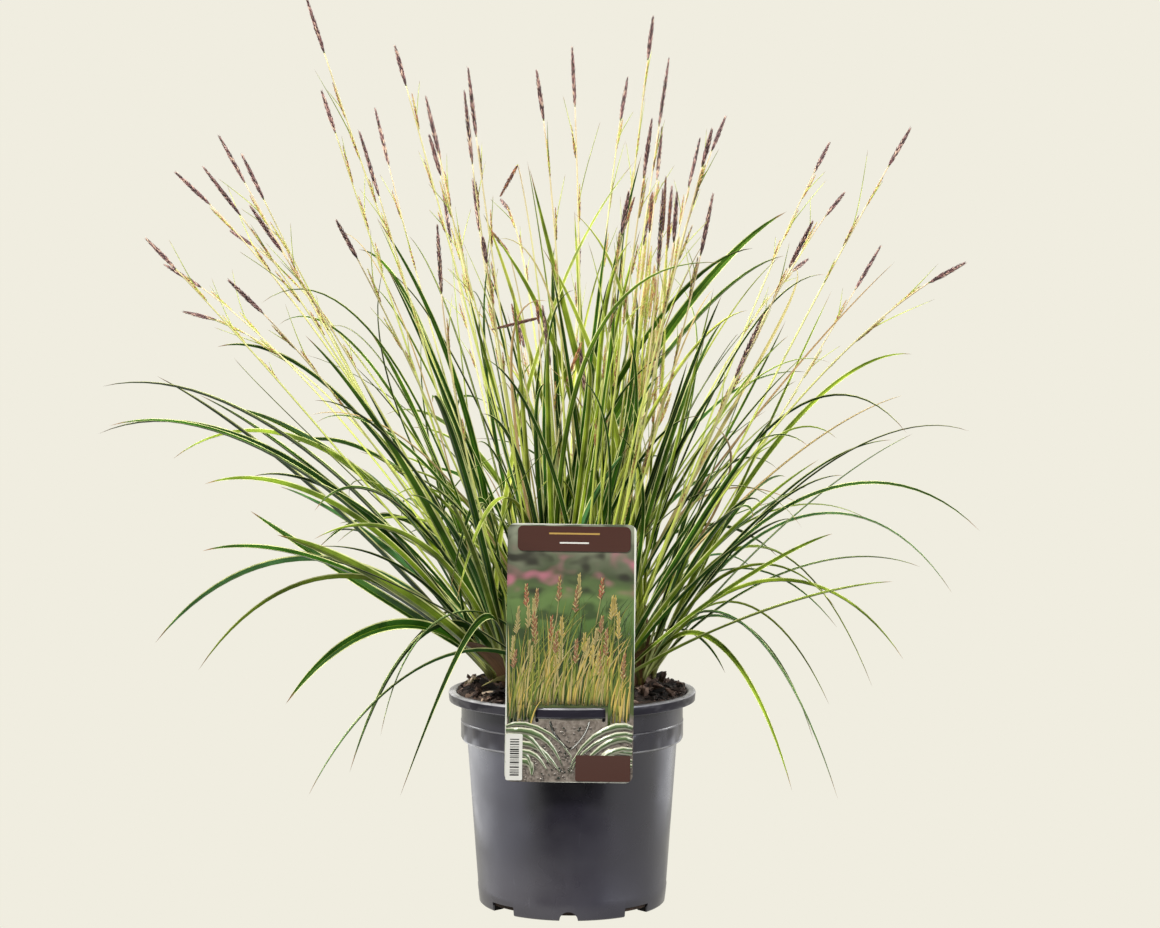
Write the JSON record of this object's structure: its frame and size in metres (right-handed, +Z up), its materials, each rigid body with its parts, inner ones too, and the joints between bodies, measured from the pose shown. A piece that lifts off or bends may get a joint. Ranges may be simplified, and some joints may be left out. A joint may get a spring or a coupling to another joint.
{
  "type": "potted carex sedge",
  "caption": "Clump of carex sedge in flower: arching keeled leaves and stems with dark spikes, in a round black nursery pot with soil and a hang label.",
  "frame": {"origin": "centre of the pot's flat underside, on the surface that it stands on", "axes": "+Z up along the pot's axis; the hang label faces -Y; +X to the right when facing the label"},
  "size_m": [0.6045, 0.5158, 0.618],
  "materials": {
    "pot": "satin",
    "soil": "matte",
    "label": "gloss",
    "leaf": "satin",
    "stem": "satin"
  },
  "bodies": {
    "root": {"flower_stems_01": "stem", "flower_stems_02": "stem", "flower_stems_03": "stem", "flower_stems_04": "stem", "flower_stems_05": "stem", "flower_stems_06": "stem", "flower_stems_07": "stem", "flower_stems_08": "stem", "flower_stems_09": "stem", "flower_stems_10": "stem", "flower_stems_11": "stem", "flower_stems_12": "stem", "flower_stems_13": "stem", "flower_stems_14": "stem", "hang_label": "label", "leaf_tuft_01": "leaf", "leaf_tuft_02": "leaf", "leaf_tuft_03": "leaf", "leaf_tuft_04": "leaf", "leaf_tuft_05": "leaf", "leaf_tuft_06": "leaf", "leaf_tuft_07": "leaf", "leaf_tuft_08": "leaf", "leaf_tuft_09": "leaf", "leaf_tuft_10": "leaf", "leaf_tuft_11": "leaf", "leaf_tuft_12": "leaf", "leaf_tuft_13": "leaf", "leaf_tuft_14": "leaf", "leaf_tuft_15": "leaf", "pot": "pot", "soil": "soil"}
  },
  "joints": []
}
